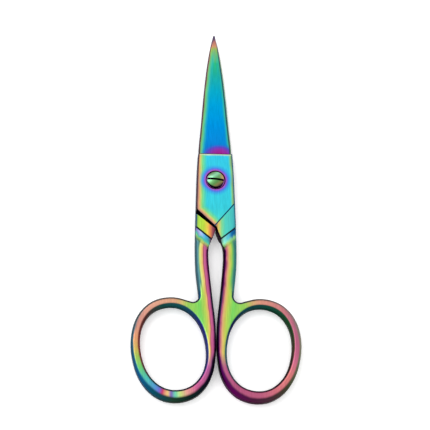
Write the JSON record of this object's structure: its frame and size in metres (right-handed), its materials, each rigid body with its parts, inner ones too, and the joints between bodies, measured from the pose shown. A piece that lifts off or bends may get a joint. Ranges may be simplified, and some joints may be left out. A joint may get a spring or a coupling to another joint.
{
  "type": "scissors",
  "caption": "Small straight-bladed hairdressing scissors in iridescent metal, crossed halves turning on a slotted screw, oval finger rings.",
  "frame": {"origin": "pivot axis where it meets the plane the closed scissors lie on", "axes": "+Z along the pivot axis, out of the screw head side; +Y along the closed blades toward the tips; +X toward the finger ring of the upper half"},
  "size_m": [0.0446, 0.1046, 0.0044],
  "materials": {
    "coated_steel_front": "satin-brushed steel with a rainbow titanium coating",
    "coated_steel_rear": "satin-brushed steel with a rainbow titanium coating",
    "coated_screw": "polished steel with a rainbow titanium coating"
  },
  "bodies": {
    "rear": {"rear_half": "coated_steel_rear", "pivot_screw": "coated_screw"},
    "front": {"front_half": "coated_steel_front"}
  },
  "joints": [
    {"name": "blade_pivot", "type": "hinge", "parent": "rear", "child": "front", "pos_m": [0, 0, 0], "axis": [0, 0, 1], "range_deg": [0, 95]}
  ]
}
